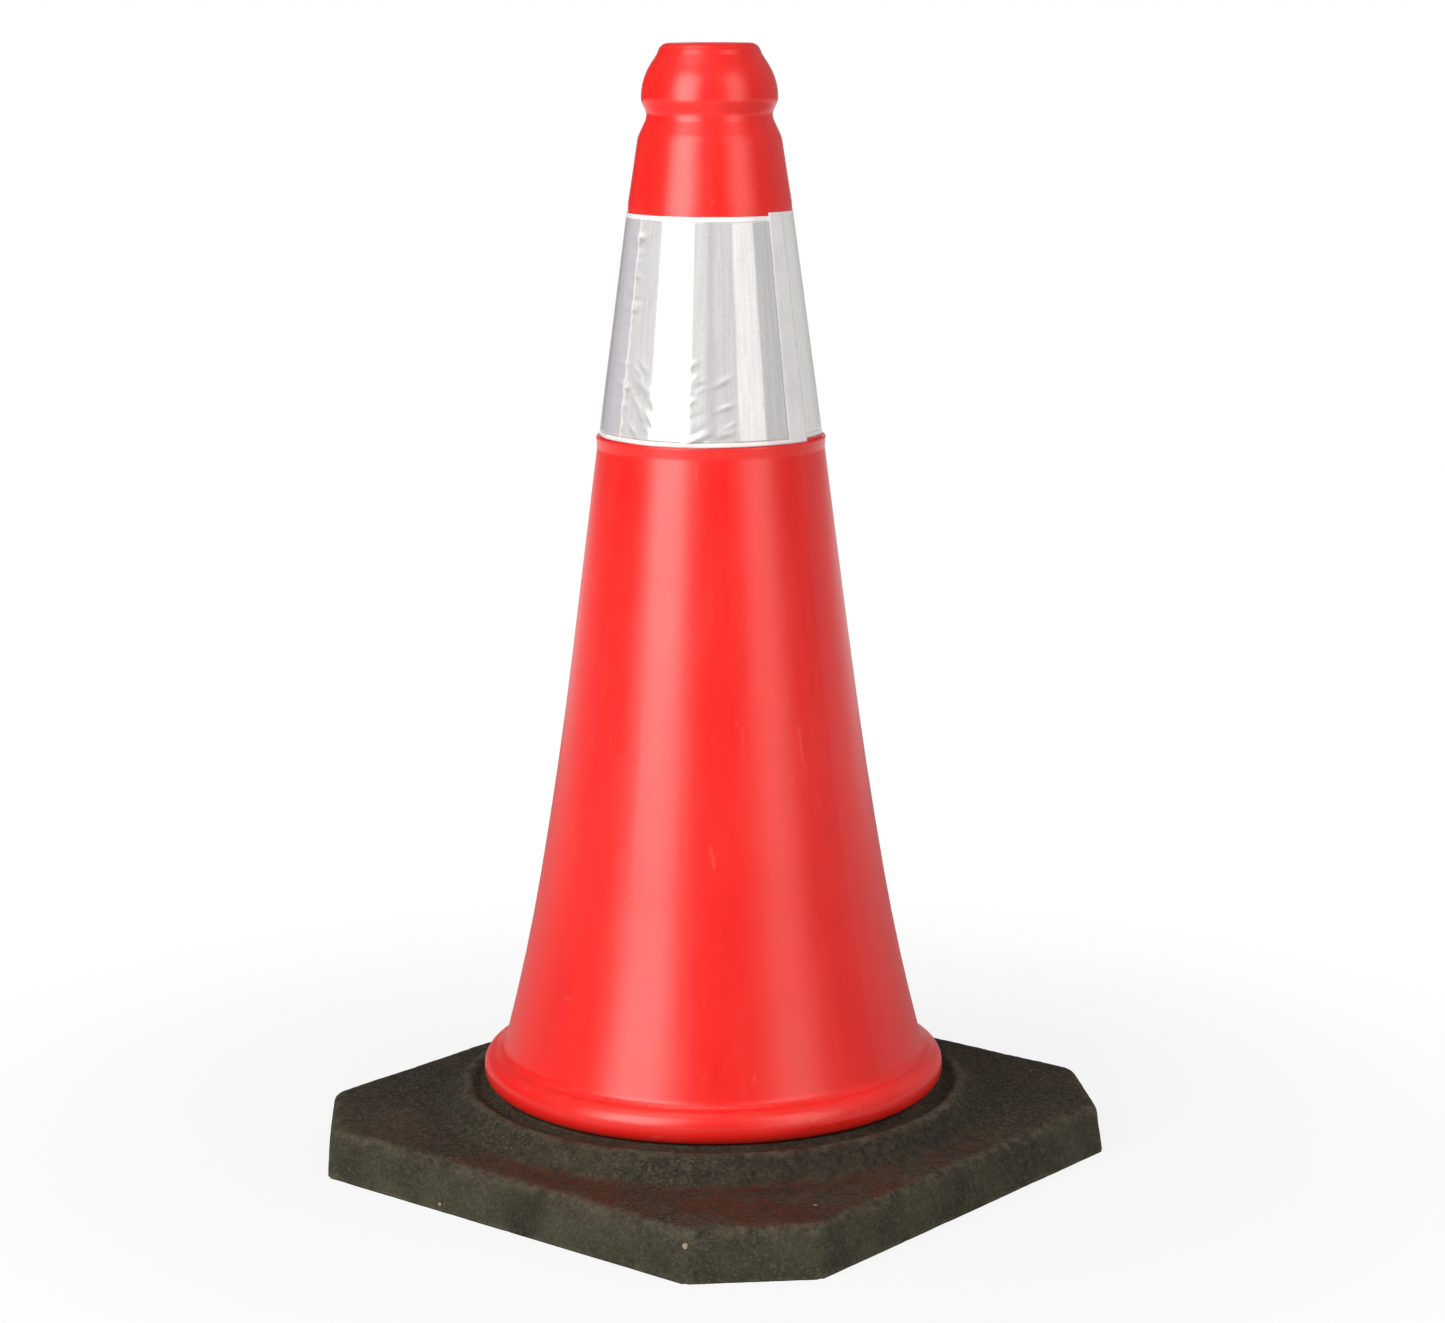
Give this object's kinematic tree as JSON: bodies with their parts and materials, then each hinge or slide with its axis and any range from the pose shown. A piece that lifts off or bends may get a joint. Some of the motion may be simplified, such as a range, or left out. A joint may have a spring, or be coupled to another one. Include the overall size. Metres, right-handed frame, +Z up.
{
  "type": "traffic cone",
  "caption": "Tall hollow safety cone with a grip knob and hole at the top, a removable reflective sleeve and a heavy square rubber base with cut corners.",
  "frame": {"origin": "centre of the underside of the base, on the ground", "axes": "+Z up along the cone's axis; X and Y square to the straight sides of the base"},
  "size_m": [0.437, 0.437, 0.75],
  "materials": {
    "cone_plastic": "satin moulded polyethylene, orange-red",
    "recycled_rubber": "matt granular recycled rubber, dusty",
    "white_sheet": "smooth white vinyl",
    "prismatic_film": "glossy silver-white prismatic film"
  },
  "bodies": {
    "cone": {"rubber_base": "recycled_rubber", "cone_body": "cone_plastic"},
    "sleeve": {"sleeve_backing": "white_sheet", "sleeve_film": "prismatic_film"}
  },
  "joints": [
    {"name": "sleeve_lift", "type": "slide", "parent": "cone", "child": "sleeve", "axis": [0, 0, 1], "range_m": [0, 0.28]}
  ]
}
